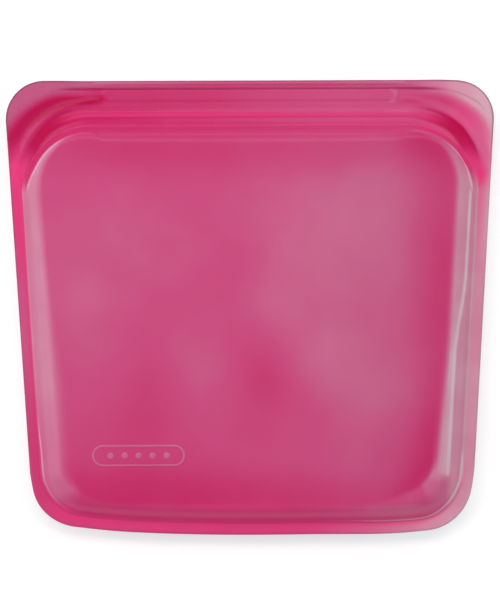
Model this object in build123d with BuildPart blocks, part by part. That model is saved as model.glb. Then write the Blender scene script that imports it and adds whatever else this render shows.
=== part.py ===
from build123d import *
import math
import os

os.makedirs("parts", exist_ok=True)

# A flat pinch-seal silicone bag lying on its back. X is the width, +Y points
# to the mouth, +Z up through the front face. All sizes are in millimetres.

# Overall outline of the bonded sheet
top_y = 88.25
bottom_y = -88.25
shoulder_half = 95.25
shoulder_half_y = 72.0
side_taper = 9.0 / 138.0
outline_top_radius = 15.0
outline_bottom_radius = 18.0
bottom_bow = 3.2

# Heights
bag_depth = 19.0
wall = 1.0
mid_z = 9.5
layer_gap = 0.15
neck_top_z = 10.95
neck_base_z = 8.05
seam_top_z = 10.55
step_z = 9.5

# Crease where the pouch rises from the flange
crease_inset = 4.6
crease_top_y = 70.6
crease_bottom_y = -83.9
crease_top_radius = 27.0
crease_bottom_radius = 15.5

# Flat face of the pouch
face_inset = 13.6
face_top_y = 67.4
face_bottom_y = -76.2
face_top_radius = 20.0
face_bottom_radius = 13.0

# Mouth: radii are measured from the centre of the crease's upper corners
mouth_end_deg = 56.0
neck_outer_r = 30.0
seal_outer_r = 33.2
body_gap = 0.4
lip_half = 60.0
front_lip_top_y = 85.6
seam_cut_y = 56.0

# Ridge that rounds each mouth corner outside the seal
ridge_cx = 60.2
ridge_cy = 49.7
ridge_in_r = 30.0
ridge_out_r = 32.0
ridge_end_deg = 62.0
ridge_height = 0.7
sheet_step = 3.4

# Pinch seal
rib_width = 1.1
rib_depth = 1.85
seal_clearance = 0.3
seal_bump = 0.65
channel_base_z = 6.9

# Grip bars on the lips
bar_half = 58.0
bar_low_y = 79.7
bar_high_y = 85.0
bar_height = 1.0

# Raised mark on the front face
mark_x = -43.5
mark_y = -57.2
mark_length = 36.0
mark_width = 8.4
mark_line = 0.8
mark_height = 0.3


def half_width(y, inset):
    """Half of the width at a height y, for a curve inset from the edge."""
    return shoulder_half + (y - shoulder_half_y) * side_taper - inset * 1.002


mouth_cy = crease_top_y - crease_top_radius
mouth_cx = half_width(mouth_cy, crease_inset) - crease_top_radius * 1.002
bottom_corner_y = bottom_y + bottom_bow


def plan(z, inset, high_y, low_y, high_radius, low_radius, bow):
    """Tapered, round-cornered plan of the bag at one level."""
    with BuildSketch(Plane.XY.offset(z)) as sheet:
        with BuildLine():
            Polyline(
                (half_width(low_y, inset), low_y + bow),
                (half_width(high_y, inset), high_y),
                (-half_width(high_y, inset), high_y),
                (-half_width(low_y, inset), low_y + bow),
            )
            ThreePointArc(
                (-half_width(low_y, inset), low_y + bow),
                (0, low_y),
                (half_width(low_y, inset), low_y + bow),
            )
        make_face()
        fillet(sheet.vertices().group_by(Axis.Y)[-1], high_radius)
        fillet(sheet.vertices().group_by(Axis.Y)[0], low_radius)
    return sheet.sketch


def outline(z, inset):
    """The sheet's outer edge, or a curve set in from it."""
    return plan(
        z, inset, top_y - inset, bottom_y + inset,
        outline_top_radius - inset, outline_bottom_radius - inset, bottom_bow,
    )


def crease(z, inset):
    """The crease round the pouch, or a curve set in from it."""
    return plan(
        z, crease_inset + inset, crease_top_y - inset, crease_bottom_y + inset,
        crease_top_radius - inset, crease_bottom_radius - inset, 3.0,
    )


def face(z):
    """The edge of the pouch's flat face."""
    return plan(
        z, face_inset, face_top_y, face_bottom_y,
        face_top_radius, face_bottom_radius, 2.6,
    )


def between(z, share, inset):
    """A level of the shoulder, a share of the way from crease to face."""
    def mix(low, high):
        return low + (high - low) * share

    return plan(
        z,
        mix(crease_inset, face_inset) + inset,
        mix(crease_top_y, face_top_y) - inset,
        mix(crease_bottom_y, face_bottom_y) + inset,
        mix(crease_top_radius, face_top_radius) - inset,
        mix(crease_bottom_radius, face_bottom_radius) - inset,
        mix(3.0, 2.6),
    )


def band(z, cx, cy, r_in, r_out, end_deg):
    """A strip across the bag: straight in the middle, curved down at both ends."""
    end = math.radians(end_deg)
    mid = math.radians(end_deg / 2)

    def at(r, angle, side):
        return (side * (cx + r * math.sin(angle)), cy + r * math.cos(angle))

    with BuildSketch(Plane.XY.offset(z)) as strip:
        with BuildLine():
            Line(at(r_out, 0, -1), at(r_out, 0, 1))
            ThreePointArc(at(r_out, 0, 1), at(r_out, mid, 1), at(r_out, end, 1))
            Line(at(r_out, end, 1), at(r_in, end, 1))
            ThreePointArc(at(r_in, end, 1), at(r_in, mid, 1), at(r_in, 0, 1))
            Line(at(r_in, 0, 1), at(r_in, 0, -1))
            ThreePointArc(at(r_in, 0, -1), at(r_in, mid, -1), at(r_in, end, -1))
            Line(at(r_in, end, -1), at(r_out, end, -1))
            ThreePointArc(at(r_out, end, -1), at(r_out, mid, -1), at(r_out, 0, -1))
        make_face()
    return strip.sketch


def mouth_band(z, r_in, r_out, end_deg):
    """A strip along the mouth, parallel to the crease."""
    return band(z, mouth_cx, mouth_cy, r_in, r_out, end_deg)


def shoulder(foot_z, face_z, way):
    """Curved wall from the crease up (way 1) or down (way -1) to the face."""
    rise = abs(face_z - foot_z)
    with BuildPart() as ring:
        loft([
            crease(foot_z, 0),
            between(foot_z + way * rise * 0.42, 0.2, 0),
            between(foot_z + way * rise * 0.84, 0.58, 0),
            face(face_z),
        ])
        loft([
            crease(foot_z, wall),
            between(foot_z + way * (rise * 0.42 - 0.2), 0.2, wall),
            between(foot_z + way * (rise * 0.84 - 0.6), 0.58, 0.85),
            face(face_z - way * wall),
        ], mode=Mode.SUBTRACT)
        extrude(face(face_z - way * wall), amount=way * 2 * wall, mode=Mode.SUBTRACT)
    return ring.part


# Back half: everything that stays on the table

with BuildPart() as back_panel:
    extrude(face(0), amount=wall)
back_panel.part.label = "back_panel"
export_step(back_panel.part, "parts/back_panel.step")

back_shoulder = shoulder(neck_base_z, 0, -1)
back_shoulder.label = "back_shoulder"
export_step(back_shoulder, "parts/back_shoulder.step")

with BuildPart() as back_neck:
    extrude(
        mouth_band(neck_base_z, crease_top_radius - wall, neck_outer_r, mouth_end_deg),
        amount=mid_z - layer_gap - neck_base_z,
    )
back_neck.part.label = "back_neck"
export_step(back_neck.part, "parts/back_neck.step")

# Groove that the rib presses into
seal_mid_r = (neck_outer_r + seal_outer_r) / 2
groove_half = rib_width / 2 + seal_clearance
groove_floor_z = mid_z + layer_gap - rib_depth - seal_clearance

with BuildPart() as seal_channel:
    extrude(
        mouth_band(channel_base_z, neck_outer_r, seal_outer_r, mouth_end_deg),
        amount=mid_z - layer_gap - channel_base_z,
    )
    fillet(seal_channel.faces().sort_by(Axis.Z)[0].edges(), 0.5)
    extrude(
        mouth_band(
            groove_floor_z, seal_mid_r - groove_half, seal_mid_r + groove_half,
            mouth_end_deg + 3,
        ),
        amount=4,
        mode=Mode.SUBTRACT,
    )
seal_channel.part.label = "seal_channel"
export_step(seal_channel.part, "parts/seal_channel.step")

with BuildPart() as edge_seam:
    extrude(outline(neck_base_z, 0), amount=seam_top_z - neck_base_z)
    fillet(edge_seam.faces().sort_by(Axis.Z)[-1].edges(), 0.9)
    fillet(edge_seam.faces().sort_by(Axis.Z)[0].edges(), 0.9)
    extrude(crease(neck_base_z - 1, wall), amount=5, mode=Mode.SUBTRACT)
    with Locations((0, seam_cut_y, mid_z)):
        Box(
            240, 80, 10,
            align=(Align.CENTER, Align.MIN, Align.CENTER),
            mode=Mode.SUBTRACT,
        )
edge_seam.part.label = "edge_seam"
export_step(edge_seam.part, "parts/edge_seam.step")


def mouth_corner(side):
    """Bonded corner beside the mouth, with the ridge that rounds it."""
    with BuildPart() as corner:
        extrude(outline(neck_base_z, 0), amount=step_z - neck_base_z)
        extrude(outline(step_z, sheet_step), amount=seam_top_z - step_z)
        extrude(
            band(
                seam_top_z, ridge_cx, ridge_cy, ridge_in_r, ridge_out_r, ridge_end_deg,
            ),
            amount=ridge_height,
        )
        extrude(crease(neck_base_z - 1, wall), amount=8, mode=Mode.SUBTRACT)
        extrude(
            mouth_band(neck_base_z - 1, 2, seal_outer_r + body_gap, mouth_end_deg + 1),
            amount=8,
            mode=Mode.SUBTRACT,
        )
        with Locations((side * (lip_half + body_gap), seam_cut_y, mid_z)):
            Box(
                60, 60, 10,
                align=(Align.MIN if side > 0 else Align.MAX, Align.MIN, Align.CENTER),
                mode=Mode.INTERSECT,
            )
    return corner.part


left_mouth_corner = mouth_corner(-1)
left_mouth_corner.label = "left_mouth_corner"
export_step(left_mouth_corner, "parts/left_mouth_corner.step")

right_mouth_corner = mouth_corner(1)
right_mouth_corner.label = "right_mouth_corner"
export_step(right_mouth_corner, "parts/right_mouth_corner.step")

# Front half: the wall that lifts to open the bag

with BuildPart() as front_panel:
    extrude(face(bag_depth - wall), amount=wall)
front_panel.part.label = "front_panel"
export_step(front_panel.part, "parts/front_panel.step")

front_shoulder = shoulder(neck_top_z, bag_depth, 1)
front_shoulder.label = "front_shoulder"
export_step(front_shoulder, "parts/front_shoulder.step")

with BuildPart() as front_neck:
    extrude(
        mouth_band(
            mid_z + layer_gap, crease_top_radius - wall, neck_outer_r, mouth_end_deg,
        ),
        amount=neck_top_z - mid_z - layer_gap,
    )
front_neck.part.label = "front_neck"
export_step(front_neck.part, "parts/front_neck.step")

with BuildPart() as seal_rib:
    extrude(
        mouth_band(mid_z + layer_gap, neck_outer_r, seal_outer_r, mouth_end_deg),
        amount=neck_top_z + seal_bump - mid_z - layer_gap,
    )
    fillet(seal_rib.faces().sort_by(Axis.Z)[-1].edges(), 0.5)
    extrude(
        mouth_band(
            mid_z + layer_gap - rib_depth, seal_mid_r - rib_width / 2,
            seal_mid_r + rib_width / 2, mouth_end_deg,
        ),
        amount=rib_depth,
    )
seal_rib.part.label = "seal_rib"
export_step(seal_rib.part, "parts/seal_rib.step")

# Raised generic mark: a long ring with a row of five studs inside
with BuildPart() as front_emblem:
    with BuildSketch(Plane.XY.offset(bag_depth)):
        with Locations((mark_x, mark_y)):
            SlotOverall(mark_length, mark_width)
            SlotOverall(
                mark_length - 2 * mark_line, mark_width - 2 * mark_line,
                mode=Mode.SUBTRACT,
            )
            with GridLocations(5.4, 1, 5, 1):
                Circle(1.3)
    extrude(amount=mark_height)
front_emblem.part.label = "front_emblem"
export_step(front_emblem.part, "parts/front_emblem.step")


# Lips: the two flaps beyond the seal that fingers pull apart
lip_low_y = mouth_cy + seal_outer_r + body_gap


def lip(low_z, high_z, high_y):
    """Flat flap with a rounded free edge."""
    with BuildPart() as flap:
        with BuildSketch(Plane.XY.offset(low_z)):
            with Locations((0, lip_low_y)):
                Rectangle(
                    2 * lip_half, high_y - lip_low_y, align=(Align.CENTER, Align.MIN),
                )
        extrude(amount=high_z - low_z)
        fillet(flap.faces().sort_by(Axis.Y)[-1].edges().filter_by(Axis.X), 0.5)
    return flap.part


def grip_bar(base_z, way):
    """Low rounded bar along a lip."""
    with BuildPart() as bar:
        with BuildSketch(Plane.XY.offset(base_z)):
            with Locations((0, (bar_low_y + bar_high_y) / 2)):
                RectangleRounded(2 * bar_half, bar_high_y - bar_low_y, 2.6)
        extrude(amount=way * bar_height)
        outer = bar.faces().sort_by(Axis.Z)[-1 if way > 0 else 0]
        fillet(outer.edges(), 0.7)
    return bar.part


front_lip = lip(mid_z + layer_gap, neck_top_z, front_lip_top_y)
front_lip.label = "front_lip"
export_step(front_lip, "parts/front_lip.step")

front_grip_bar = grip_bar(neck_top_z, 1)
front_grip_bar.label = "front_grip_bar"
export_step(front_grip_bar, "parts/front_grip_bar.step")

back_lip = lip(neck_base_z, mid_z - layer_gap, top_y)
back_lip.label = "back_lip"
export_step(back_lip, "parts/back_lip.step")

back_grip_bar = grip_bar(neck_base_z, -1)
back_grip_bar.label = "back_grip_bar"
export_step(back_grip_bar, "parts/back_grip_bar.step")
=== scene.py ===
import math

import bpy
import numpy as np
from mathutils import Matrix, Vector


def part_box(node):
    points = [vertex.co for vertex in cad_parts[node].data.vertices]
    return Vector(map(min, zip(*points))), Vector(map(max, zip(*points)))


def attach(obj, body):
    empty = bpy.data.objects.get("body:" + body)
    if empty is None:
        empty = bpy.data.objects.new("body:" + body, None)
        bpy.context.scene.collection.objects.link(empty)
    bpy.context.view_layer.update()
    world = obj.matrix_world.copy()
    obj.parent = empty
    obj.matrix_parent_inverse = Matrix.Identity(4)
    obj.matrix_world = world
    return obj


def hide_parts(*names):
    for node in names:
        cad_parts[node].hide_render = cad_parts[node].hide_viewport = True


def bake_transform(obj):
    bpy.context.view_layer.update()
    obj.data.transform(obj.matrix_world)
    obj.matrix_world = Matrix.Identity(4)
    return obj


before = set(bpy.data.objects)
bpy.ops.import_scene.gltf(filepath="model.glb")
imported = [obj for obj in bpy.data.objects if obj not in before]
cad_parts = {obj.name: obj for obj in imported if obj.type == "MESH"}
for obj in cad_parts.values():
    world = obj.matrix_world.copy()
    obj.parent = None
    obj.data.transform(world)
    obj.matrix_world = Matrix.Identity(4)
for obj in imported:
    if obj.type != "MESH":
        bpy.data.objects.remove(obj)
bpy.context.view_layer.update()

MM = 0.001

# ---------------------------------------------------------------- frame sizes
# Everything below is in millimetres until a mesh is written.


def mm_box(node):
    """Lowest and highest corner of a CAD node."""
    low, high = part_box(node)
    return np.array(low) / MM, np.array(high) / MM


_, corner_hi = mm_box("right_mouth_corner")
seam_lo, seam_hi = mm_box("edge_seam")
shoulder_lo, shoulder_hi = mm_box("front_shoulder")
panel_lo, panel_hi = mm_box("front_panel")
back_lo, _ = mm_box("back_panel")
neck_lo, neck_hi = mm_box("front_neck")
rib_lo, rib_hi = mm_box("seal_rib")
channel_lo, _ = mm_box("seal_channel")
_, lip_hi = mm_box("front_lip")
bar_lo, bar_hi = mm_box("front_grip_bar")
back_lip_lo, back_lip_hi = mm_box("back_lip")
back_bar_lo, back_bar_hi = mm_box("back_grip_bar")
mark_lo, mark_hi = mm_box("front_emblem")

TOP_Y = corner_hi[1]
BOTTOM_Y = seam_lo[1]
TAPER = 9.0 / 138.0  # each side leans out 9 mm over 138 mm of height
TILT = math.atan(TAPER)
SEAM_WIDTH = 4.6     # bonded flange, from the outline to the crease
OUT_TOP_R = 15.0     # corners of the outline
OUT_LOW_R = 18.0
CREASE_TOP_Y = shoulder_hi[1]
CREASE_LOW_Y = shoulder_lo[1]
CREASE_TOP_R = 27.0  # corners of the crease, where the wall starts to rise
CREASE_LOW_R = 15.5
FACE_TOP_Y = panel_hi[1]
FACE_LOW_Y = panel_lo[1]
FACE_TOP_R = 20.0    # corners of the flat face
FACE_LOW_R = 13.0
FACE_INSET = 13.6    # from the outline to the flat face, at the sides
BOW = 3.2            # how far the middle of the bottom hangs below its ends
CREASE_BOW = BOW - 0.2
FACE_BOW = BOW - 0.6

Z_BACK = back_lo[2]
Z_FRONT = panel_hi[2]
Z_FOOT = neck_hi[2]
Z_UNDER = neck_lo[2]
Z_BACK_TOP = back_lip_hi[2]
Z_BACK_FOOT = back_lip_lo[2]
Z_SEAM = seam_hi[2]
WALL = panel_hi[2] - panel_lo[2]

SEAM_CUT_Y = seam_hi[1]


def half_width(y, inset=0.0):
    """Half width at height y, fixed by the CAD seam where it is cut, at its widest."""
    return seam_hi[0] + (np.asarray(y) - SEAM_CUT_Y) * TAPER - inset / math.cos(TILT)


# centre of the round mouth corner; the seal and the lips run at distances from it
MOUTH_CY = CREASE_TOP_Y - CREASE_TOP_R
MOUTH_CX = float(half_width(MOUTH_CY, SEAM_WIDTH)) - CREASE_TOP_R / math.cos(TILT)
SIDE_ANGLE = math.pi / 2 + TILT
RIB_IN_R = 31.05       # the rib's two faces, and its middle
RIB_OUT_R = 32.15
SEAL_R = 31.6
PINK_LINE_R = 30.8     # a vivid line along the mouth, just inside the seal
CHANNEL_OUT_R = 34.0   # outer limit of the dark channel inside each corner
GROOVE_GAP = 0.3       # the groove is this much wider than the rib on each side
GROOVE_FLOOR_Z = 7.5
BAR_END_R = 2.6        # round ends of the grip bars
LIP_BASE_Y = 77.0      # the lips curl beyond this line
LIP_INSET = TOP_Y - lip_hi[1]
WEB_DEPTH = lip_hi[1] - CREASE_TOP_Y
EDGE_R = 0.85          # rounding of the outer edge
SHEET_EDGE_R = 0.35    # rounding of the front sheet's free edge

# ---------------------------------------------------------------- plan curves
# The right half of each closed curve runs from the top centre to the bottom
# centre. The same column index means matching places on every curve.

LIP_CUT_IN = 24.0
LIP_CUT_OUT = 40.0
BACK_CUT_IN = 44.0
BACK_CUT_OUT = 60.0
# columns across the top: every 4 mm, then close together at the end of the grip bar
TOP_X = np.concatenate([np.arange(0, 53, 4), [54], 55 + 0.6 * np.arange(8), [60]])
ARC_N = 44   # columns round the mouth corner
SIDE_N = 44  # down the side
LOW_N = 20   # round the low corner
BASE_N = 18  # along the bottom
CORNER_ANGLES = np.linspace(0, SIDE_ANGLE, ARC_N + 1)[1:]


def arc_points(cx, cy, radius, angles):
    """Points round a centre, with angles clockwise from straight up."""
    return np.stack([cx + radius * np.sin(angles), cy + radius * np.cos(angles)], 1)


def corner_fillet(line_y, inset, radius):
    """Centre of the arc between a level top line and the right side line."""
    cy = line_y - radius
    return float(half_width(cy, inset)) - radius / math.cos(TILT), cy


def low_fillet(low_y, inset, radius, bow):
    """Centre of the bottom right arc and the slope of the bottom curve there."""
    hx = float(half_width(low_y, inset))
    slope = 2 * bow / hx
    up = math.atan(slope)
    # centre lies radius inside the side line and radius above the bottom line
    ax, ay = math.cos(TILT), -math.sin(TILT)
    ac = ax * float(half_width(0, inset)) - radius
    bx, by = -math.sin(up), math.cos(up)
    bc = bx * hx + by * (low_y + bow) + radius
    det = ax * by - ay * bx
    return (ac * by - ay * bc) / det, (ax * bc - ac * bx) / det, up


def side_and_base(start, inset, low_y, radius, bow):
    """Side line, bottom arc and bottom curve, from a start point on the side."""
    cx, cy, up = low_fillet(low_y, inset, radius, bow)
    a0, a1 = SIDE_ANGLE, math.pi - up
    arc0 = np.array([cx + radius * math.sin(a0), cy + radius * math.cos(a0)])
    t = np.linspace(0, 1, SIDE_N + 1)[1:, None]
    side = start + (arc0 - start) * t
    arc = arc_points(cx, cy, radius, np.linspace(a0, a1, LOW_N + 1)[1:])
    x1, y1 = arc[-1]
    x = x1 * (1 - np.linspace(0, 1, BASE_N + 1)[1:])
    k = math.tan(up) / (2 * x1)
    base = np.stack([x, y1 - k * (x1 ** 2 - x ** 2)], 1)
    return np.concatenate([side, arc, base])


def plan_half(high_y, inset, high_r, low_y, low_r, bow):
    """Right half of a curve with a level top, round corners and a bowed bottom."""
    cx, cy = corner_fillet(high_y, inset, high_r)
    x = TOP_X * min(1.0, cx / TOP_X[-1])
    # the last column starts the arc; one that is already there steps back a little
    x = np.append(x, cx) if cx > x[-1] + 1e-6 else np.append(x[:-1], [x[-1] - 0.3, cx])
    top = np.stack([x, np.full(len(x), high_y)], 1)
    arc = arc_points(cx, cy, high_r, CORNER_ANGLES)
    return np.concatenate([top, arc, side_and_base(arc[-1], inset, low_y, low_r, bow)])


def crease_half(inset=0.0):
    return plan_half(
        CREASE_TOP_Y - inset, SEAM_WIDTH + inset, CREASE_TOP_R - inset,
        CREASE_LOW_Y + inset, CREASE_LOW_R - inset, CREASE_BOW,
    )


def face_half():
    return plan_half(FACE_TOP_Y, FACE_INSET, FACE_TOP_R, FACE_LOW_Y, FACE_LOW_R, FACE_BOW)


def outline_distance(x, y):
    """Distance inside the outline's top and sides (negative outside)."""
    x = np.abs(x)
    cx, cy = corner_fillet(TOP_Y, 0, OUT_TOP_R)
    top = TOP_Y - y
    side = (half_width(y) - x) * math.cos(TILT)
    ang = np.arctan2(x - cx, y - cy)
    arc = OUT_TOP_R - np.hypot(x - cx, y - cy)
    inside = (ang > 0) & (ang < SIDE_ANGLE)
    return np.where(inside & (x > cx - 30), arc, np.minimum(top, side))


def outline_half(inset):
    """Outline or a curve inset from it; inset may differ for every column."""
    x = np.append(TOP_X, MOUTH_CX)
    n = len(x) + ARC_N + SIDE_N + LOW_N + BASE_N
    inset = np.broadcast_to(np.asarray(inset, float), (n,))
    top = np.stack([x, TOP_Y - inset[:len(x)]], 1)
    centre = np.array([MOUTH_CX, MOUTH_CY])
    d = arc_points(0, 0, 1, CORNER_ANGLES)
    want = inset[len(x):len(x) + ARC_N]
    # halve the reach of each ray from the centre until it ends at the wanted inset
    low, high = np.full(ARC_N, 20.0), np.full(ARC_N, 60.0)
    for _ in range(48):
        mid = (low + high) / 2
        p = centre + d * mid[:, None]
        more = outline_distance(p[:, 0], p[:, 1]) > want
        low, high = np.where(more, mid, low), np.where(more, high, mid)
    arc = centre + d * ((low + high) / 2)[:, None]
    i = float(inset[-1])
    rest = side_and_base(arc[-1], i, BOTTOM_Y + i, OUT_LOW_R - i, BOW)
    return np.concatenate([top, arc, rest])


N_TOP = len(TOP_X) + 1
N_HALF = N_TOP + ARC_N + SIDE_N + LOW_N + BASE_N
WEB_N = N_TOP + ARC_N  # columns that have a web between the edge and the crease


def smooth(t):
    t = np.clip(t, 0, 1)
    return t * t * (3 - 2 * t)


# distance from the outline to the front sheet's free edge: it widens from the lip to
# the flange over 16 columns, from 4 columns before the corner
to_flange = smooth((np.arange(N_HALF) - len(TOP_X) + 4) / 16.0)
edge_inset = LIP_INSET + (SEAM_WIDTH - LIP_INSET) * to_flange
OUTLINE = outline_half(0.0)
SHEET = outline_half(edge_inset)
CREASE = crease_half()
FACE = face_half()

# ---------------------------------------------------------------- surfaces


def bump(d, half, soft):
    """1 within half of a line and falling to 0 over soft."""
    return 1 - smooth((np.abs(d) - half) / soft)


def bar_distance(x, y):
    """Distance inside the grip bar's outline (negative outside)."""
    cx, cy = bar_hi[0] - BAR_END_R, (bar_hi[1] + bar_lo[1]) / 2
    hy = (bar_hi[1] - bar_lo[1]) / 2 - BAR_END_R
    dx, dy = np.maximum(np.abs(x) - cx, 0), np.maximum(np.abs(y - cy) - hy, 0)
    return BAR_END_R - np.hypot(dx, dy)


def mouth_polar(x, y):
    """Distance out from the centre line of the crease's top, and the corner angle."""
    ax = np.abs(x)
    r = np.where(ax < MOUTH_CX, y - MOUTH_CY, np.hypot(ax - MOUTH_CX, y - MOUTH_CY))
    angle = np.degrees(np.arctan2(np.maximum(ax - MOUTH_CX, 0), y - MOUTH_CY))
    return r, angle


def past_arc(x, y, cx, cy, radius):
    """Distance outside a level line that bends down round both corners."""
    ax = np.abs(x)
    return np.where((ax < cx) & (y > cy), y - cy, np.hypot(ax - cx, y - cy)) - radius


# the soft groove and the ridge that run round each mouth corner: centre across,
# centre up and radius
GROOVE_ARC = (67.5, 52.4, 27.9)
RIDGE_ARC = (60.2, 49.7, 30.6)
# the channel inside each corner: angles round the corner, and how deep it is there
CHANNEL_DEPTH = (
    (0, 8, 16, 24, 32, 40, 50, 56, 64, 74), (0, 0.2, 0.5, 0.75, 0.9, 1, 1, 0.78, 0.38, 0)
)


def features(x, y):
    """Named soft shapes of the mouth, each 0 to 1."""
    ax = np.abs(x)
    r, angle = mouth_polar(x, y)
    low = smooth((y - 46) / 14)
    beyond_bar = smooth((ax - bar_hi[0] + 3) / 8)
    groove = past_arc(x, y, *GROOVE_ARC)
    width = 1.6 + 1.3 * smooth((ax - 66) / 12)
    ridge = past_arc(x, y, *RIDGE_ARC)
    right = smooth((x + 20) / 40)
    channel_in = 28.1 - 1.6 * smooth((angle - 28) / 28)
    channel = smooth((r - channel_in) / 1.1) * np.interp(angle, *CHANNEL_DEPTH)
    channel = channel * (1 - smooth((ridge + 1.9 - 1.2 * right) / (1.4 - 0.7 * right)))
    channel = channel * (1 - smooth((r - CHANNEL_OUT_R) / 0.8))
    return {
        "bar": smooth(bar_distance(x, y) / 0.9),
        "seal": bump(r - SEAL_R, 0.9, 0.9) * smooth((y - 54) / 18),
        "channel": channel,
        "ridge": np.exp(-(ridge / np.where(ridge > 0, 1.3, 1.2)) ** 2) * beyond_bar * low,
        "outer": np.exp(-(groove / width) ** 2) * beyond_bar * low,
    }


def mouth_height(x, y):
    """Height of the front sheet outside the crease."""
    f = features(x, y)
    z = np.full(np.shape(x), float(Z_FOOT))
    z = z + 0.35 * (bar_hi[2] - bar_lo[2]) * f["bar"]
    z = z + 0.5 * (rib_hi[2] - Z_FOOT) * f["seal"] * (1 - f["channel"])
    return z + 0.34 * f["ridge"] - 0.20 * f["outer"] - 0.28 * f["channel"]


def bonded(x, y):
    """1 where the two sheets are one, 0 along the open lips."""
    return np.maximum(1 - smooth((y - 56) / 10), smooth((np.abs(x) - 64) / 14))


def rim_height(x, y):
    """Top of the bonded flange, which drops to the back sheet at the mouth."""
    side = bonded(x, y)
    f = features(x, y)
    flat = Z_BACK_TOP + (Z_SEAM + 0.35 - Z_BACK_TOP) * side
    return flat + (0.34 * f["ridge"] - 0.20 * f["outer"]) * side


def sag(x, y):
    """How far the soft edge lies above its drawn line, or below it where negative.

    It is up at the low left corner, down at the low right one and at the top right.
    """
    low = smooth((-58 - y) / 26)
    high = smooth((y - 70) / 10)
    left_corner = 0.9 * np.exp(-((x + 76) / 16) ** 2)
    right_side = 1.3 * np.exp(-((x - 58) / 24) ** 2)
    return low * (left_corner - right_side) - 0.32 * high * np.exp(-((x - 82) / 7) ** 2)


def lean(x, y):
    """How far points move across, to the right where positive.

    The right side leans in at the top and out low down; both low corners tuck in.
    """
    side = -0.006 * (np.maximum(y, -58) + 2) * smooth(x / 80) * smooth((y + 84) / 24)
    tuck = np.where(x > 0, -0.45, 0.6) * smooth((-64 - y) / 8) * smooth((np.abs(x) - 50) / 18)
    return side + tuck


def settle(points):
    """Moves points of the drawn shape to where the soft bag lies."""
    moved = points.copy()
    moved[:, 0] += lean(points[:, 0], points[:, 1])
    moved[:, 1] += sag(moved[:, 0], points[:, 1])
    return moved


def noise(x, y, seed, size):
    """Slow wander between -1 and 1, made of a few waves."""
    rng = np.random.RandomState(seed)
    waves = 6
    total = 0
    for _ in range(waves):
        angle, phase = rng.uniform(0, 2 * math.pi, 2)
        length = size * rng.uniform(0.6, 1.6)
        u = (x * math.cos(angle) + y * math.sin(angle)) / length * 2 * math.pi
        total = total + np.sin(u + phase)
    return total / waves


def face_wander(x, y):
    """How far the soft face lies above or below its level."""
    return 0.22 * noise(x, y, 5, 75)


# Profile of the shoulder: share of the way from crease to face, share of rise
SHOULDER_POINTS = np.array([
    (0.00, 0.000), (0.04, 0.020), (0.08, 0.055), (0.12, 0.100), (0.17, 0.170),
    (0.23, 0.270), (0.30, 0.385), (0.38, 0.510), (0.46, 0.620), (0.54, 0.715),
    (0.62, 0.800), (0.70, 0.870), (0.77, 0.920), (0.83, 0.952), (0.88, 0.974),
    (0.93, 0.990), (0.97, 0.998), (1.00, 1.000),
])


def finer(points):
    """The same smooth curve with a point added between each two."""
    ends = np.concatenate([[2 * points[0] - points[1]], points, [2 * points[-1] - points[-2]]])
    between = (9 * (ends[1:-2] + ends[2:-1]) - ends[:-3] - ends[3:]) / 16
    rows = np.empty((2 * len(points) - 1, 2))
    rows[::2], rows[1::2] = points, between
    return rows


SHOULDER = finer(SHOULDER_POINTS)
# Rings of the flat face, as shares of the way out from its middle, closer at its edge
FACE_STEPS = np.array([
    0.996, 0.99, 0.98, 0.965, 0.945, 0.92, 0.89, 0.855, 0.815, 0.77, 0.72, 0.665,
    0.605, 0.54, 0.47, 0.395, 0.315, 0.235, 0.155, 0.08, 0.0,
])
FACE_CENTRE = np.array([0.0, (FACE_TOP_Y + FACE_LOW_Y) / 2])
# Rings of the mouth sheet, from the crease to its edge, closer over the seal and bar
WEB_STEPS = np.concatenate([
    np.linspace(0, 0.16, 6), np.linspace(0.19, 0.43, 11),
    np.linspace(0.455, 0.585, 5), np.linspace(0.602, 0.96, 20), [0.975, 0.99, 1.0],
])
# the nearest ring is moved onto the line where the lips are cut
LIP_SHARE = (LIP_BASE_Y - CREASE_TOP_Y) / WEB_DEPTH
LIP_RING = int(np.argmin(np.abs(WEB_STEPS - LIP_SHARE)))
WEB_STEPS[LIP_RING] = LIP_SHARE

LEAST_SHOULDER = 6.5  # the wall takes at least this far to rise from the crease
RISE = Z_FRONT - Z_FOOT


def front_rings():
    """Plan rings of the front wall, crease to middle, and their share of the rise."""
    rings = [CREASE + (FACE - CREASE) * q for q in SHOULDER[:, 0]]
    rings += [FACE_CENTRE + (FACE - FACE_CENTRE) * s for s in FACE_STEPS]
    rings = np.array(rings)
    width = np.maximum(np.linalg.norm(FACE - CREASE, axis=1), LEAST_SHOULDER)
    along = np.linalg.norm(rings - CREASE, axis=2) / width
    return rings, np.interp(along, SHOULDER[:, 0], SHOULDER[:, 1])


def web(from_xy, to_xy):
    """Rings of a web from one curve to another, over the mouth columns."""
    a, b = from_xy[:WEB_N], to_xy[:WEB_N]
    return np.array([a + (b - a) * s for s in WEB_STEPS])


# ---------------------------------------------------------------- mesh making


def write_mesh(name, points, quads, normals):
    """A smooth mesh from points in millimetres; a repeated corner is a triangle."""
    used, corners = np.unique(quads, return_inverse=True)
    corners = corners.reshape(quads.shape)
    faces = []
    for q in corners.tolist():
        clean = [c for k, c in enumerate(q) if c != q[k - 1]]
        if len(clean) > 2:
            faces.append(clean)
    me = bpy.data.meshes.new(name)
    me.from_pydata((points[used] * MM).tolist(), [], faces)
    me.validate()
    me.polygons.foreach_set("use_smooth", [True] * len(me.polygons))
    ob = bpy.data.objects.new(name, me)
    bpy.context.scene.collection.objects.link(ob)
    me.normals_split_custom_set_from_vertices(normals[used].tolist())
    return ob


MIRROR_X = np.array([-1, 1, 1])


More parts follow.
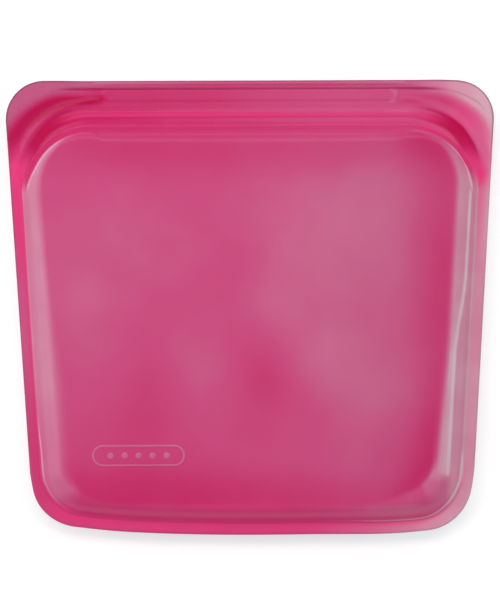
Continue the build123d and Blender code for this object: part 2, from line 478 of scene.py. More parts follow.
class Builder:
    """One closed skin made of grids, later cut into pieces."""

    def __init__(self):
        self.points, self.quads, self.tags, self.count = [], [], [], 0

    def grid(self, rows, closed, tag, flip=False):
        """Quads between rows of points; tag names the part of the surface."""
        rows = np.asarray(rows, float)
        m, n = rows.shape[:2]
        ids = self.count + np.arange(m * n).reshape(m, n)
        self.count += m * n
        self.points.append(rows.reshape(-1, 3))
        nxt = np.roll(ids, -1, axis=1)
        if not closed:
            ids, nxt = ids[:, :-1], nxt[:, :-1]
        quad = np.stack([ids[:-1], nxt[:-1], nxt[1:], ids[1:]], -1).reshape(-1, 4)
        self.quads.append(quad[:, ::-1] if flip else quad)
        self.tags += [tag] * len(quad)

    def finish(self):
        """Merges equal points and works out the smooth normals of the whole skin."""
        pts = np.concatenate(self.points)
        _, first, back = np.unique(
            np.round(pts, 4), axis=0, return_index=True, return_inverse=True
        )
        self.pts = settle(pts[first])
        self.q = back.reshape(-1)[np.concatenate(self.quads)]
        p = self.pts[self.q]
        self.mid = p.mean(axis=1)
        n = np.cross(p[:, 2] - p[:, 0], p[:, 3] - p[:, 1])
        total = np.zeros_like(self.pts)
        for k in range(4):
            np.add.at(total, self.q[:, k], n)
        length = np.linalg.norm(total, axis=1, keepdims=True)
        self.nor = total / np.maximum(length, 1e-12)
        self.tag_array = np.array(self.tags)

    def piece(self, name, pick):
        return write_mesh(name, self.pts, self.q[pick(self.mid, self.tag_array)], self.nor)


def mirror(rows):
    """Right half columns, then the left half, closed through both centres."""
    rows = np.asarray(rows)
    left = rows[:, 1:-1][:, ::-1] * MIRROR_X
    return np.concatenate([rows, left], axis=1)


def mirror_open(rows):
    """Columns from the far left, through the top centre, to the far right."""
    rows = np.asarray(rows)
    left = rows[:, 1:][:, ::-1] * MIRROR_X
    return np.concatenate([left, rows], axis=1)


def with_z(xy, z):
    return np.concatenate([xy, np.broadcast_to(z, xy.shape[:-1])[..., None]], axis=-1)


# ------------------------------------------------- front wall and front sheet

wall_xy, wall_share = front_rings()
outer = with_z(wall_xy, Z_FOOT + RISE * wall_share)
plain_z = outer[..., 2].copy()
# the wander of the face grows over its first 9 rings, from nothing on the shoulder
soft = face_wander(outer[..., 0], outer[..., 1])
soft = soft * smooth((np.arange(len(outer)) - len(SHOULDER) + 1)[:, None] / 9.0)
outer[..., 2] += soft

# inner skin: shoulder moved in and down by the wall, face moved down
CREASE_IN = crease_half(WALL)
inner = outer.copy()
for i, q in enumerate(SHOULDER[:, 0]):
    inner[i, :, :2] = CREASE_IN + (FACE - CREASE_IN) * q
inner_plain_z = Z_FOOT + (RISE - WALL) * wall_share
inner[..., 2] = inner_plain_z + soft

front = Builder()
# web outside the crease, with its underside carrying the rib
web_xy = web(CREASE, SHEET)
web_top = with_z(web_xy, mouth_height(web_xy[..., 0], web_xy[..., 1]))
edge_z = rim_height(web_xy[-1, :, 0], web_xy[-1, :, 1])
meet = bonded(web_xy[-1, :, 0], web_xy[-1, :, 1])
web_top[..., 2] += (edge_z - web_top[-1, :, 2])[None] * meet * smooth(WEB_STEPS)[:, None]
# the foot of the wall follows the sheet's first ring, and lets go over 12 rings
dip = np.zeros(N_HALF)
dip[:WEB_N] = web_top[0, :, 2] - Z_FOOT
decay = 1 - smooth(np.arange(len(outer)) / 12.0)
outer[..., 2] += dip[None] * decay[:, None]


def web_share(r):
    """Share of the way across the web at distance r from the corner's centre."""
    return (r - CREASE_TOP_R) / WEB_DEPTH


RIB_IN = web_share(RIB_IN_R)
RIB_OUT = web_share(RIB_OUT_R)
under_steps = np.array(
    [0, 0.1, 0.2, RIB_IN - 0.012, RIB_IN, RIB_IN + 0.008, RIB_OUT - 0.008, RIB_OUT,
     RIB_OUT + 0.012, 0.40, LIP_SHARE, 0.55, 0.7, 0.85, 0.96, 1.0]
)
rib_depth = np.array([0, 0, 0, 0, 0.9, 1, 1, 0.9, 0, 0, 0, 0, 0, 0, 0, 0])
web_in, web_edge = CREASE_IN[:WEB_N], SHEET[:WEB_N]
under_xy = np.array([web_in + (web_edge - web_in) * s for s in under_steps])
# the rib and its groove end where the corner turns down
web_angle = np.degrees(np.arctan2(web_edge[:, 0] - MOUTH_CX, web_edge[:, 1] - MOUTH_CY))
rib_run = 1 - smooth((web_angle - 56) / 6)
under_z = Z_UNDER - (Z_UNDER - rib_lo[2]) * rib_depth[:, None] * rib_run[None]
under = with_z(under_xy, under_z)
# free edge: rounded from the outer face to the underside
top_edge = web_top[-1]
low_edge = under[-1]
out_dir = SHEET[:WEB_N] - CREASE[:WEB_N]
out_dir = out_dir / np.maximum(np.linalg.norm(out_dir, axis=1, keepdims=True), 1e-6)
edge_rows = []
for k in np.linspace(0, 1, 5)[1:-1]:
    bulge = SHEET_EDGE_R * math.sin(math.pi * k)
    z = top_edge[:, 2] + (low_edge[:, 2] - top_edge[:, 2]) * k
    edge_rows.append(np.column_stack([SHEET[:WEB_N] + out_dir * bulge, z]))

front.grid(mirror(outer), True, "wall", flip=True)
front.grid(mirror_open(web_top), False, "web")
front.grid(mirror_open([top_edge] + edge_rows + [low_edge]), False, "edge")
front.grid(mirror(inner), True, "inner")
front.grid(mirror_open(under), False, "under", flip=True)
# foot of the wall where there is no web, tucked into the flange
foot = np.array([
    outer[0], with_z(CREASE, Z_SEAM - 0.3), with_z(CREASE_IN, Z_SEAM - 0.3), inner[0]
])[:, WEB_N - 1:]
front.grid(foot, False, "foot")
front.grid(foot[:, ::-1] * MIRROR_X, False, "foot")
front.finish()


def level_normals(skin, line_points):
    """Where the sheets are bonded, no edge shows along the front sheet's rim."""
    keep = bonded(line_points[:, 0], line_points[:, 1]) > 0.5
    on = line_points[keep]
    on = settle(np.round(np.concatenate([on, on * MIRROR_X]), 4))
    known = {tuple(p) for p in np.round(on, 3).tolist()}
    for i, p in enumerate(np.round(skin.pts, 3).tolist()):
        if tuple(p) in known:
            skin.nor[i] = (0, 0, 1)


level_normals(front, top_edge)

lip_y = CREASE_TOP_Y + LIP_SHARE * WEB_DEPTH


def within(mid, tags, names, low_x, high_x):
    """Faces of the named parts beyond the seal, between two places across."""
    across = (mid[:, 0] > low_x) & (mid[:, 0] < high_x)
    return np.isin(tags, names) & (mid[:, 1] > lip_y - 1e-3) & across


LIP_TAGS = ["web", "edge", "under"]
BACK_LIP_TAGS = ["back_under", "back_edge", "rim", "back_top"]

pieces = {}


def cut_piece(skin, name, pick):
    pieces[name] = skin.piece(name, pick)


def in_front_lip(m, t):
    return within(m, t, LIP_TAGS, -LIP_CUT_OUT, LIP_CUT_OUT)


cut_piece(front, "front_wall_left", lambda m, t: (m[:, 0] < 0) & ~in_front_lip(m, t))
cut_piece(front, "front_wall_right", lambda m, t: (m[:, 0] > 0) & ~in_front_lip(m, t))
cut_piece(front, "front_lip_middle",
          lambda m, t: within(m, t, LIP_TAGS, -LIP_CUT_IN, LIP_CUT_IN))
cut_piece(front, "front_lip_left",
          lambda m, t: within(m, t, LIP_TAGS, -LIP_CUT_OUT, -LIP_CUT_IN))
cut_piece(front, "front_lip_right",
          lambda m, t: within(m, t, LIP_TAGS, LIP_CUT_IN, LIP_CUT_OUT))

# ------------------------------------------------- back wall and bonded flange

BACK_FALL = (Z_BACK_FOOT - Z_BACK) / RISE


def under_height(x, y):
    """Height of the underside between the crease and the outline."""
    f = features(x, y)
    z = np.full(np.shape(x), float(Z_BACK_FOOT))
    z = z - (Z_BACK_FOOT - channel_lo[2]) * f["seal"] - 0.5 * f["ridge"]
    return z - (back_bar_hi[2] - back_bar_lo[2]) * f["bar"]


def edge_drop(xy):
    """How far the rounded outer edge falls away from the level sheet."""
    near = np.linalg.norm(OUTLINE - xy, axis=-1)
    return EDGE_R - np.sqrt(np.maximum(EDGE_R ** 2 - np.maximum(EDGE_R - near, 0) ** 2, 0))


back = Builder()
b_outer = outer.copy()
b_outer[..., 2] = Z_BACK_FOOT - (plain_z - Z_FOOT) * BACK_FALL
b_inner = inner.copy()
b_inner[..., 2] = Z_BACK_FOOT - (inner_plain_z - Z_FOOT) * BACK_FALL
under_back_steps = np.concatenate([WEB_STEPS * 0.85, [0.9, 0.95, 0.98]])
low_xy = np.array([CREASE + (OUTLINE - CREASE) * s for s in under_back_steps])
low_sheet = with_z(low_xy, under_height(low_xy[..., 0], low_xy[..., 1]))
low_sheet[0, :, 2] = Z_BACK_FOOT
# top of the flange, from the front sheet's edge or the crease to the outline
rim_steps = np.array([0.0, 0.1, 0.2, 0.35, 0.5, 0.65, 0.8, 0.9, 1.0])
rim_from = SHEET.copy()
rim_from[WEB_N:] = CREASE[WEB_N:]
rim_xy = np.array([rim_from + (OUTLINE - rim_from) * s for s in rim_steps])
rim = with_z(rim_xy, rim_height(rim_xy[..., 0], rim_xy[..., 1]) - edge_drop(rim_xy) * 0.9)
low_sheet[..., 2] += edge_drop(low_xy) * 0.5
edge_band = np.array([rim[-1], low_sheet[-1]])

back.grid(mirror(b_outer), True, "back_wall")
back.grid(mirror(low_sheet), True, "back_under", flip=True)
back.grid(mirror(edge_band), True, "back_edge")
back.grid(mirror(rim), True, "rim")
# top of the back sheet under the front sheet, with the groove
groove_in = web_share(RIB_IN_R - GROOVE_GAP)
groove_out = web_share(RIB_OUT_R + GROOVE_GAP)
top_steps = np.array(
    [0, 0.1, groove_in - 0.012, groove_in, groove_in + 0.008, groove_out - 0.008,
     groove_out, groove_out + 0.012, 0.40, LIP_SHARE, 0.55, 0.7, 0.85, 1.0]
)
groove_depth = np.array([0, 0, 0, 0.9, 1, 1, 0.9, 0, 0, 0, 0, 0, 0, 0])
top_xy = np.array([web_in + (web_edge - web_in) * s for s in top_steps])
flat_z = Z_BACK_TOP - (Z_BACK_TOP - GROOVE_FLOOR_Z) * groove_depth[:, None] * rib_run[None]
join_z = rim[0, :WEB_N, 2]
flat_z = flat_z + (join_z - Z_BACK_TOP)[None] * (top_steps[:, None] > 0.999)
top_sheet = with_z(top_xy, flat_z)
back.grid(mirror_open(top_sheet), False, "back_top")
inner_join = np.array([top_sheet[0], with_z(CREASE_IN[:WEB_N], Z_BACK_FOOT)])
back.grid(mirror_open(inner_join), False, "back_inner", flip=True)
side_join = np.array([
    rim[0], with_z(CREASE_IN, rim[0][:, 2]), with_z(CREASE_IN, np.full(N_HALF, Z_BACK_FOOT))
])[:, WEB_N - 1:]
back.grid(side_join, False, "back_inner", flip=True)
back.grid(side_join[:, ::-1] * MIRROR_X, False, "back_inner", flip=True)
back.grid(mirror(b_inner), True, "back_inner", flip=True)
back.finish()
level_normals(back, rim[0, :WEB_N])

cut_piece(back, "back_shell",
          lambda m, t: ~within(m, t, BACK_LIP_TAGS, -BACK_CUT_OUT, BACK_CUT_OUT))
cut_piece(back, "back_lip_middle",
          lambda m, t: within(m, t, BACK_LIP_TAGS, -BACK_CUT_IN, BACK_CUT_IN))
cut_piece(back, "back_lip_left",
          lambda m, t: within(m, t, BACK_LIP_TAGS, -BACK_CUT_OUT, -BACK_CUT_IN))
cut_piece(back, "back_lip_right",
          lambda m, t: within(m, t, BACK_LIP_TAGS, BACK_CUT_IN, BACK_CUT_OUT))

# ------------------------------------------------- raised mark on the front


def face_level(x, y):
    return Z_FRONT + face_wander(x, y)


mark = Builder()
mx, my = (mark_lo[:2] + mark_hi[:2]) / 2
mark_rx, mark_ry = (mark_hi[:2] - mark_lo[:2]) / 2
MARK_RISE = mark_hi[2] - mark_lo[2]
MARK_LINE = 0.9    # width of the slot's outline
MARK_SUNK = 0.05   # its foot sits this far in the face
MARK_MILK = 0.24   # it looks this much milkier than the face round it
SLOT_ROWS = 8
SLOT_COLUMNS = 120
STUDS = 5
STUD_GAP = 5.4
STUD_R = 1.3
STUD_ROWS = 6
STUD_COLUMNS = 24


def slot_point(t, r):
    """Point on a slot outline of end radius r, for t from 0 to 1."""
    straight = 2 * (mark_rx - mark_ry)
    lap = 2 * straight + 2 * math.pi * r
    d = (t % 1) * lap
    if d < straight:
        return mx - straight / 2 + d, my + r
    d -= straight
    if d < math.pi * r:
        a = d / r
        return mx + straight / 2 + r * math.sin(a), my + r * math.cos(a)
    d -= math.pi * r
    if d < straight:
        return mx + straight / 2 - d, my - r
    a = (d - straight) / r
    return mx - straight / 2 - r * math.sin(a), my - r * math.cos(a)


def raised(ring, a):
    """A ring of the mark off the face, with a as the angle round its section."""
    lift = MARK_RISE * math.sin(a)
    return [(x, y, face_level(x, y) - MARK_SUNK + lift) for x, y in ring]


rows = []
for k in range(SLOT_ROWS + 1):
    a = math.pi * k / SLOT_ROWS
    r = mark_ry - MARK_LINE / 2 - MARK_LINE / 2 * math.cos(a)
    rows.append(raised([slot_point(i / SLOT_COLUMNS, r) for i in range(SLOT_COLUMNS)], a))
mark.grid(rows, True, "mark")
turns = [2 * math.pi * i / STUD_COLUMNS for i in range(STUD_COLUMNS)]
for n in range(STUDS):
    cx = mx + (n - STUDS // 2) * STUD_GAP
    rings = []
    for k in range(STUD_ROWS + 1):
        a = math.pi / 2 * k / STUD_ROWS
        r = STUD_R * math.cos(a)
        rings.append(raised([(cx + r * math.sin(b), my + r * math.cos(b)) for b in turns], a))
    mark.grid(rings, True, "stud", flip=True)
mark.finish()
cut_piece(mark, "front_mark", lambda m, t: np.full(len(m), True))

# ------------------------------------------------- placing the pieces


def side_blend(ob):
    """Bakes the piece's placement into its mesh."""
    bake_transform(ob)


def lip_blend(ob, low_x, high_x, side, top):
    """The lip would curl past the seal, dying away across a side piece; this works out where that starts
    and ends and bakes the piece's placement into its mesh, but bends nothing.
    """
    base = lip_y + 0.3
    length = top - base
    if side == 0:
        start, end = np.array([0, base, 0]), np.array([0, top, 0])
    else:
        g = np.array([-side / (high_x - low_x), 1 / length, 0])
        start = np.array([side * low_x, base, 0])
        end = start + g / (g @ g)
    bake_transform(ob)


side_blend(pieces["front_wall_left"])
side_blend(pieces["front_wall_right"])
side_blend(pieces["front_mark"])
for name, side in (("front_lip_middle", 0), ("front_lip_left", -1), ("front_lip_right", 1)):
    lip_blend(pieces[name], LIP_CUT_IN, LIP_CUT_OUT,
              side, lip_hi[1] + 0.4)
for name, side in (("back_lip_middle", 0), ("back_lip_left", -1), ("back_lip_right", 1)):
    lip_blend(pieces[name], BACK_CUT_IN, BACK_CUT_OUT,
              side, back_lip_hi[1] + 0.1)
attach(pieces["back_shell"], "back_half")

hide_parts("front_panel", "front_shoulder", "front_neck", "seal_rib")
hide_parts("front_panel", "front_shoulder", "front_neck", "seal_rib")
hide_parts("front_emblem")
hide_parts("front_lip", "front_grip_bar")
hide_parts("back_lip", "back_grip_bar")
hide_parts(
    "back_panel", "back_shoulder", "back_neck", "seal_channel",
    "edge_seam", "left_mouth_corner", "right_mouth_corner",
)

# ------------------------------------------------- material

# Lighter and darker cloudy patches on the face, partly milky where the two walls touch
# inside and partly painted reflection: centre, spread, strength. These 13 rows weren't
# chosen by hand: they are the output of a least-squares fit to the photo's green level
# over the face.
CLOUDS_AND_REFLECTION = [
    (24, 32, 40, 17, 0.16), (-45, -66, 40, 23, -0.14), (33, -20, 14, 11, 0.14),
    (5, -27, 8, 12, -0.19), (-29, 59, 27, 16, -0.11), (-63, 2, 10, 10, 0.09),
    (71, -63, 12, 14, -0.20), (69, 31, 8, 37, -0.13), (7, 6, 12, 13, 0.17),
    (-3, 18, 17, 17, -0.20), (-32, -21, 13, 11, 0.15), (50, -36, 9, 8, 0.09),
    (-38, -26, 9, 17, -0.20),
]


def line(d, half):
    """A soft line: 1 on it, falling away over half."""
    return np.exp(-(d / half) ** 2)


def blend_to(base, value, weight):
    return base + (value - base) * weight


def rounded(a, b, radius):
    """Distance inside two crossing edges whose corner is rounded."""
    arc = radius - np.hypot(radius - a, radius - b)
    return np.where((a < radius) & (b < radius), arc, np.minimum(a, b))


def plan_distance(x, y, inset, high_y, high_r, low_y, low_r, bow):
    """Distance inside a closed plan curve (negative outside)."""
    side = (half_width(y, inset) - np.abs(x)) * math.cos(TILT)
    low = y - low_y - bow * (x / half_width(low_y, inset)) ** 2
    return np.minimum(rounded(high_y - y, side, high_r), rounded(low, side, low_r))


def flat_distance(x, y):
    """Distance inside the clouded flat of the face, and how far over it fades."""
    right = x > 0
    side = (half_width(y) - np.abs(x)) * math.cos(TILT)
    left_in = 11.5 + 2.9 * smooth((42 - y) / 90)
    right_in = 13.9 + 2.2 * smooth((-10 - y) / 55)
    across = side - np.where(right, right_in, left_in)
    low = y + 76.6 - 2.6 * (x / half_width(-76.6)) ** 2 - 3.6 * smooth((x - 40) / 25)
    high = FACE_TOP_Y - y
    inside = np.minimum(
        rounded(high, across, np.where(right, 21.0, 24.0)),
        rounded(low, across, 15.0),
    )
    wide = np.where(right, 3.2, 3.2 + 3.4 * smooth((20 - y) / 60))
    near_side = smooth((np.minimum(high, low) - across) / 12 + 0.3)
    return inside, 1.6 + (wide - 1.6) * near_side


def finish_fields(x, y):
    """How milky with painted highlights, how much painted glow (as if lit through) and how much painted
    shade each place has, 0 to 1.
    """
    f = features(x, y)
    ax = np.abs(x)
    right = smooth((x + 70) / 140)
    left = 1 - right
    r, angle = mouth_polar(x, y)
    out = plan_distance(x, y, 0, TOP_Y, OUT_TOP_R, BOTTOM_Y, OUT_LOW_R, BOW)
    crease = plan_distance(
        x, y, SEAM_WIDTH, CREASE_TOP_Y, CREASE_TOP_R, CREASE_LOW_Y, CREASE_LOW_R, CREASE_BOW
    )
    low_cx = half_width(CREASE_LOW_Y, SEAM_WIDTH) - CREASE_LOW_R
    low_cy = CREASE_LOW_Y + CREASE_LOW_R
    low_angle = np.degrees(np.arctan2(np.maximum(ax - low_cx, 0), np.maximum(low_cy - y, 0.01)))
    at_side = np.where(y > 0, smooth((angle - 6 - 18 * right) / 36), smooth((low_angle - 4) / 72))
    wander = noise(x, y, 11, 60)
    fine = noise(x, y, 12, 22)

    # the flat face, cloudy with milky patches and painted reflection, deeper along its top, bottom and
    # right edges
    flat, wide = flat_distance(x, y)
    right_shade = smooth((x - 5) / 60)
    face = 0.62 + 0.04 * wander + 0.02 * fine
    for cx, cy, sx, sy, k in CLOUDS_AND_REFLECTION:
        face = face + k * np.exp(-((x - cx) / sx) ** 2 / 2 - ((y - cy) / sy) ** 2 / 2)
    face = face + 0.03 * right_shade - 0.14 * smooth((y - 46) / 18) - 0.20 * smooth((-56 - y) / 18)
    face = face - 0.17 * line(flat - 2, 7) * right * smooth((ax - 50) / 18)

    # shoulders: pale at the sides, partly thin milky wall and partly painted reflection of the side lamps;
    # clear at the top and bottom
    top_band = 0.37 + 0.20 * right
    low_band = 0.37 + 0.04 * right + 0.33 * smooth((x - 12) / 60)
    low_band = low_band - 0.16 * smooth((y + 77.5) / 3) * smooth((x - 30) / 25)
    right_band = 0.90 - 0.15 * smooth((-64 - y) / 5) * (1 - smooth((x - 74) / 4))
    left_band = 0.86 - 0.10 * smooth((-25 - y) / 35) - 0.06 * smooth((-62 - y) / 8)
    side_band = np.where(x > 0, right_band, left_band)
    band = blend_to(np.where(y > 0, top_band, low_band), side_band, at_side)
    milk_and_sheen = blend_to(band, face, smooth(flat / wide + 0.5))
    ring_in = 23.9 + 0.6 * right + 1.2 * smooth((angle - 62) / 24) * left
    past_corner = right * smooth((angle - 58) / 22)
    ring = smooth((r - ring_in) / 0.6) * smooth((angle - 4) / 12) * smooth((y - 44) / 8)
    milk_and_sheen = blend_to(milk_and_sheen, 0.30 + 0.16 * right + 0.34 * past_corner, ring)

    # bonded flange
    flange_left = 0.38 + 0.24 * smooth((44 - y) / 42) - 0.18 * smooth((-12 - y) / 45)
    flange = np.where(x > 0, 0.93, flange_left + 0.02)
    base_line = 0.46 + 0.48 * smooth((x - 6) / 66)
    flange = blend_to(flange, base_line, smooth((-72 - y) / 10))
    at_corner = smooth((y - 48) / 16)
    pink_edge = 1.4 * smooth((y - 20) / 25) * (x > 0)
    on_flange = 1 - smooth((crease - pink_edge) / (0.5 + pink_edge) + 1)
    milk_and_sheen = blend_to(milk_and_sheen, flange, on_flange * (1 - at_corner))
    milk_and_sheen = milk_and_sheen - 0.10 * line(crease + 0.9, 0.5) * (y < 48) * left

    # mouth sheet
    web = smooth((r - CREASE_TOP_R + 0.2) / 0.5) * at_corner
    sheet = 0.32 + 0.25 * smooth((x + 45) / 85) + 0.02 * wander
    level = 1 - smooth((angle - 10) / 20)
    sheet = sheet + 0.05 * line(r - 29.2, 0.6) * level
    sheet = sheet - 0.13 * line(r - PINK_LINE_R, 0.8) * level
    sheet = sheet - 0.13 * line(r - 27.7, 0.5) * level
    deep = smooth((-x - 25) / 35) * smooth((r - 27.5) / 1.5) * (1 - smooth((r - 33) / 1.5))
    sheet = sheet - 0.17 * deep
    rim = smooth((y - lip_hi[1] + 0.5) / 0.8) * (1 - smooth((ax - 66) / 14))
    sheet = blend_to(sheet, 0.48 + 0.17 * (x / 62) ** 2, rim)
    # paler single sheet past the groove at each top corner: partly thin sheet, partly painted reflection
    rim_corner = smooth((past_arc(x, y, *GROOVE_ARC) - 0.9) / (3.9 + 0.5 * right))
    sheet = blend_to(sheet, 0.69 + 0.26 * right, rim_corner * smooth((ax - 56 - 5 * right) / 20))
    outer_dark = 1.45 * left + 0.35 * right * (1 - smooth((angle - 20) / 12))
    sheet = sheet * (1 - np.clip(outer_dark * f["outer"], 0, 1))
    sheet = sheet + 0.10 * line(r - 32.1, 0.6) * smooth((ax - 48) / 8) * (1 - smooth((angle - 36) / 12))
    sheet = sheet * (1 - np.clip(1.1 * f["channel"], 0, 0.98))
    # painted highlight along the left ridge
    sheet = sheet + 0.24 * f["ridge"] * left * smooth((angle - 20) / 30)
    milk_and_sheen = blend_to(milk_and_sheen, sheet, web)
    # pale toward the outline at the right top corner: partly thin single sheet, partly painted reflection
    reach = np.interp(angle, (24, 36, 48, 56, 64, 72), (7, 11, 11, 7.5, 4.5, 3.0))
    edge_light = np.clip(1 - (out - 0.8) / reach, 0, 1) * (x > 0)
    edge_light = edge_light * smooth((angle - 24) / 14) * smooth((y - 10) / 20)
    milk_and_sheen = blend_to(milk_and_sheen, 0.97, 0.95 * edge_light * (1 - f["channel"]))
    tail = np.exp(-((x - 84.5) / 3.5) ** 2 - ((y - 58.5) / 4.5) ** 2)
    milk_and_sheen = milk_and_sheen - 0.35 * tail

    # painted shade: thin dark lines along the lip edge, the outline and where the sheet meets the flange,
    # darker toward the right of the face, in the left groove and at the left top corner; also a painted
    # highlight just inside the top edge
    lip_edge = line(y - lip_hi[1] + 0.76, 0.45) * (1 - smooth((ax - 66) / 12))
    milk_and_sheen = milk_and_sheen - 0.22 * lip_edge + 0.2 * line(y - TOP_Y + 0.75, 0.45) * (ax < 60)
    shade = 0.09 * right_shade * smooth(crease / 8) + 0.55 * lip_edge
    shade = shade + 0.12 * line(y - TOP_Y + 1.8, 0.35) * (ax < 60)
    rounding = 0.58 + 0.27 * smooth((ax - 60) / 20) * smooth((y - 60) / 14)
    rounding = rounding * (1 - 0.5 * right * (1 - at_corner)) * smooth((y + 80) / 30)
    shade = shade + rounding * line(outline_distance(x, y) - 0.15, 0.45)
    shade = shade + 0.10 * f["outer"] * left
    shade = shade + 0.15 * rim_corner * left * smooth((ax - 56) / 20) * web
    lip_line = past_arc(x, y, 74, 60, 24.4)
    shade = shade + 0.28 * line(lip_line, 0.35) * smooth((x - 58) / 8) * smooth((y - 74) / 6)
    shade = shade + 0.16 * line(r - 33.7, 0.3) * smooth((angle - 8) / 10) * right * (y > 64)

    # painted highlights: thin bright lines along the crease and the face edge, a paler low right crease,
    # and a long glint on the right shoulder
    milk_and_sheen = milk_and_sheen + 0.22 * line(crease + 0.3 - 0.9 * smooth((-40 - y) / 20), 0.4) * (y < 56) * left
    milk_and_sheen = milk_and_sheen + 0.05 * line(crease - 0.2, 0.5) * (y < 52) * (y > -66) * right
    low_right = smooth((x - 10) / 40) * smooth((-56 - y) / 10)
    low_fill = 0.08 * smooth(crease / 2) * (1 - smooth((x - 60) / 8))
    milk_and_sheen = milk_and_sheen + (0.40 * line(crease - 0.5, 0.4) + low_fill) * low_right
    low_glint = smooth((14 - y) / 34)
    glint = out - 7.9 - 2.9 * low_glint
    skirt = 0.35 * low_glint * line(glint, 2.6) * (glint > 0)
    glint = np.exp(-(glint / np.where(glint > 0, 0.6 + 0.3 * low_glint, 0.4)) ** 2)
    milk_and_sheen = milk_and_sheen + 0.17 * np.maximum(glint, skirt) * (x > 0) * smooth((46 - y) / 3) * smooth((y + 66) / 2)
    crease_glint = line(r - ring_in + 0.1, 0.40) * smooth((angle + 2) / 8) * smooth((y - 44) / 4)
    milk_and_sheen = milk_and_sheen + (0.28 - 0.05 * right) * crease_glint
    milk_and_sheen = milk_and_sheen + 0.06 * line(y - FACE_TOP_Y + 0.6, 0.5) * smooth((MOUTH_CX + 2 - ax) / 6)
    # painted highlight on the right end of the grip bar, and painted shade at its left end
    bar_end = np.hypot(x - 54.6, y - 82.0) - 2.3
    milk_and_sheen = milk_and_sheen + 0.16 * line(bar_end, 0.7) * smooth((x - 53.6) / 1.5)
    milk_and_sheen = milk_and_sheen - 0.22 * np.exp(-((x + 58.5) / 2.2) ** 2 - ((y - 81.5) / 1.3) ** 2)

    # painted glow: vivid brighter pink where light would shine through the flange, the rings, the seal and
    # the corners, and a lift for the crease and the bottom shoulder where the lamps leave them dim
    lit = np.where(x > 0, 0.16 + 0.46 * smooth((y - 6) / 46), 0.15 + 0.65 * smooth(y / 44))
    lit = lit * on_flange * (1 - at_corner) * smooth((out - 0.2) / 0.8)
    ring_lit = 0.25 + 0.40 * right * (1 - past_corner)
    lit = lit + ring * (1 - web) * ring_lit + 0.3 * tail
    lit = lit + 0.35 * line(crease + 0.2, 1.0) * left * (y < 48)
    lit = lit + 0.22 * low_right * (line(crease + 0.7, 1.0) + 0.5 * smooth(crease / 2) * (1 - smooth(flat)))
    lit = lit + 0.18 * right * rim_corner * smooth((ax - 56) / 20) * web
    lit = lit + 0.30 * smooth((-74 - y) / 5) * (1 - 0.7 * smooth((x - 10) / 50))
    lit = lit + 0.35 * left * smooth((ax - 84) / 6) * at_corner * (1 - smooth((y - 58) / 10))
    lit = lit + 0.25 * f["seal"] * (1 - 0.6 * right) * (1 - f["channel"])
    corner = smooth((angle - 15) / 30) * smooth((y - 50) / 10)
    lit = lit + 0.6 * right * smooth((r - 33.6) / 0.6) * corner * (1 - rim_corner)
    lit = lit + 0.3 * crease_glint * left
    lit = lit + 0.40 * line(crease - 1.4, 2.4) * (1 - at_side)
    lit = lit + 0.5 * line(r - PINK_LINE_R, 0.9) * level
    side_lit = smooth((angle - 62) / 14) * smooth((r - 27) / 2) * smooth((y - 44) / 8)
    lit = (lit + (0.5 - 0.25 * right) * side_lit) * (1 - 0.4 * edge_light)
    return np.clip(milk_and_sheen, 0, 1), np.clip(lit, 0, 1), np.clip(shade, 0, 1)


for ob in pieces.values():
    me = ob.data
    co = np.empty(len(me.vertices) * 3)
    me.vertices.foreach_get("co", co)
    x, y, z = co.reshape(-1, 3).T / MM
    x = x - lean(x, y)
    milk_and_sheen, lit, shade = finish_fields(x, y - sag(x, y))
    if ob is pieces["front_mark"]:
        milk_and_sheen = milk_and_sheen + MARK_MILK
    for attr_name, value in (("milk_and_sheen", milk_and_sheen), ("lit", lit), ("shade", shade)):
        attr = me.attributes.new(attr_name, "FLOAT", "POINT")
        attr.data.foreach_set("value", value.astype(np.float32))


# colour from clear, deep pink to milky or painted highlight, and what places with painted glow and painted
# shade turn to
MILK_AND_SHEEN_STOPS = [
    (0.00, (0.449, 0.0012, 0.066)),
    (0.20, (0.494, 0.0150, 0.108)),
    (0.40, (0.515, 0.037, 0.142)),
    (0.60, (0.523, 0.0685, 0.191)),
    (0.80, (0.535, 0.142, 0.261)),
    (0.90, (0.545, 0.219, 0.316)),
    (1.00, (0.600, 0.433, 0.499)),
]
LIT_COLOUR = (0.72, 0.042, 0.195, 1)
SHADE_COLOUR = (0.12, 0.012, 0.045, 1)


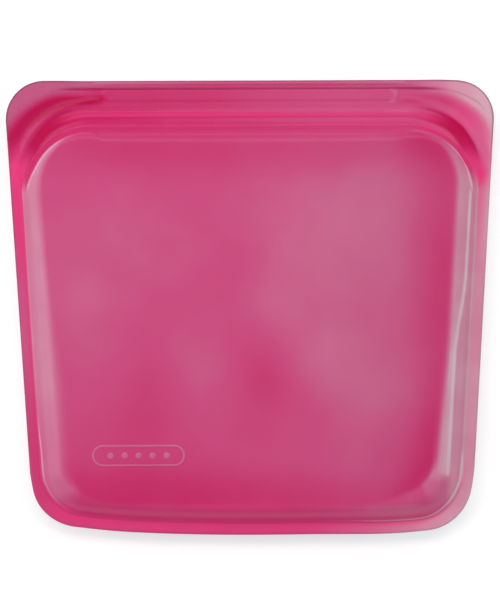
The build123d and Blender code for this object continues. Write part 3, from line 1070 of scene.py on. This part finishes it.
def make_silicone():
    """Translucent silicone: deep pink where thick, milky where thin or clouded, with painted highlights,
    painted glow and painted shade.
    """
    mat = bpy.data.materials.new("silicone")
    mat.use_nodes = True
    nt = mat.node_tree
    nt.nodes.clear()
    link = nt.links.new
    out = nt.nodes.new("ShaderNodeOutputMaterial")
    bsdf = nt.nodes.new("ShaderNodeBsdfPrincipled")
    link(bsdf.outputs["BSDF"], out.inputs["Surface"])
    coord = nt.nodes.new("ShaderNodeTexCoord")
    milk_and_sheen = nt.nodes.new("ShaderNodeAttribute")
    milk_and_sheen.attribute_name = "milk_and_sheen"
    lit = nt.nodes.new("ShaderNodeAttribute")
    lit.attribute_name = "lit"

    cloud = nt.nodes.new("ShaderNodeTexNoise")
    cloud.inputs["Scale"].default_value = 60.0
    cloud.inputs["Detail"].default_value = 3.0
    cloud.inputs["Roughness"].default_value = 0.5
    link(coord.outputs["Object"], cloud.inputs["Vector"])
    spread = nt.nodes.new("ShaderNodeMapRange")
    spread.inputs["To Min"].default_value = -0.05
    spread.inputs["To Max"].default_value = 0.05
    link(cloud.outputs["Fac"], spread.inputs["Value"])
    total = nt.nodes.new("ShaderNodeMath")
    total.operation = "ADD"
    link(milk_and_sheen.outputs["Fac"], total.inputs[0])
    link(spread.outputs["Result"], total.inputs[1])

    ramp = nt.nodes.new("ShaderNodeValToRGB")
    stops = ramp.color_ramp.elements
    while len(stops) < len(MILK_AND_SHEEN_STOPS):
        stops.new(0.5)
    for stop, (place, colour) in zip(stops, MILK_AND_SHEEN_STOPS):
        stop.position = place
        stop.color = (*colour, 1)
    link(total.outputs["Value"], ramp.inputs["Fac"])
    # painted glow: mixes toward vivid pink by the lit value
    mix = nt.nodes.new("ShaderNodeMix")
    mix.data_type = "RGBA"
    mix.inputs["B"].default_value = LIT_COLOUR
    link(lit.outputs["Fac"], mix.inputs["Factor"])
    link(ramp.outputs["Color"], mix.inputs["A"])
    # painted shade: mixes toward dark by the shade value
    shade = nt.nodes.new("ShaderNodeAttribute")
    shade.attribute_name = "shade"
    dark = nt.nodes.new("ShaderNodeMix")
    dark.data_type = "RGBA"
    dark.inputs["B"].default_value = SHADE_COLOUR
    link(shade.outputs["Fac"], dark.inputs["Factor"])
    link(mix.outputs["Result"], dark.inputs["A"])
    link(dark.outputs["Result"], bsdf.inputs["Base Color"])

    bsdf.inputs["Roughness"].default_value = 0.36
    bsdf.inputs["Specular IOR Level"].default_value = 0.08
    bsdf.inputs["Subsurface Weight"].default_value = 0.2
    bsdf.inputs["Subsurface Radius"].default_value = (1.0, 0.45, 0.6)
    bsdf.inputs["Subsurface Scale"].default_value = 0.0012
    bsdf.inputs["Coat Weight"].default_value = 0.1
    bsdf.inputs["Coat Roughness"].default_value = 0.1
    return mat


silicone = make_silicone()
for ob in pieces.values():
    ob.data.materials.clear()
    ob.data.materials.append(silicone)

# ------------------------------------------------- floor, light and camera

FLOOR_GLOW = 0.475
ROOM_GLOW = 0.28
PICTURE_TO_BAG = 1.35141       # height of the picture over the height of the bag
CAMERA_X, CAMERA_Y = -0.43, 0.07
CAMERA_TURN = -0.21            # degrees

bpy.ops.mesh.primitive_plane_add(size=6, location=(0, 0, -0.0002))
floor = bpy.context.object
floor.name = "floor"
floor_mat = bpy.data.materials.new("floor_white")
floor_mat.use_nodes = True
floor_shader = floor_mat.node_tree.nodes["Principled BSDF"]
floor_shader.inputs["Base Color"].default_value = (0.80, 0.60, 0.60, 1)
floor_shader.inputs["Roughness"].default_value = 0.9
floor_shader.inputs["Specular IOR Level"].default_value = 0.1
floor_shader.inputs["Emission Color"].default_value = (0.60, 1, 1, 1)
floor_shader.inputs["Emission Strength"].default_value = FLOOR_GLOW
floor.data.materials.append(floor_mat)


def softbox(name, place, size, power):
    """A soft area light that points at the middle of the bag."""
    data = bpy.data.lights.new(name, "AREA")
    data.shape = "RECTANGLE"
    data.size, data.size_y = size
    data.energy = power
    ob = bpy.data.objects.new(name, data)
    bpy.context.scene.collection.objects.link(ob)
    ob.location = place
    ob.rotation_euler = (-Vector(place)).to_track_quat("-Z", "Y").to_euler()


softbox("box_top", (0.0, 0.55, 0.95), (1.4, 0.6), 8.8)
softbox("box_right", (0.95, 0.0, 0.55), (0.35, 0.9), 2.8)
softbox("box_left", (-0.95, 0.0, 0.60), (0.8, 0.9), 5.8)
softbox("box_low", (0.0, -0.95, 0.7), (1.4, 0.6), 1.5)

world = bpy.data.worlds.new("room")
bpy.context.scene.world = world
world.use_nodes = True
world.node_tree.nodes["Background"].inputs["Color"].default_value = (1, 1, 1, 1)
world.node_tree.nodes["Background"].inputs["Strength"].default_value = ROOM_GLOW

cam_data = bpy.data.cameras.new("camera")
cam_data.lens = 120
cam_data.sensor_fit = "VERTICAL"
cam_data.sensor_height = 36
cam_data.clip_end = 10
cam = bpy.data.objects.new("camera", cam_data)
bpy.context.scene.collection.objects.link(cam)
view_height = (TOP_Y - BOTTOM_Y) * MM * PICTURE_TO_BAG
focus_z = Z_SEAM * MM
cam_z = focus_z + view_height * cam_data.lens / cam_data.sensor_height
cam.location = (CAMERA_X * MM, CAMERA_Y * MM, cam_z)
cam.rotation_euler = (0, 0, math.radians(CAMERA_TURN))
bpy.context.scene.camera = cam

bpy.context.scene.view_settings.view_transform = "Standard"
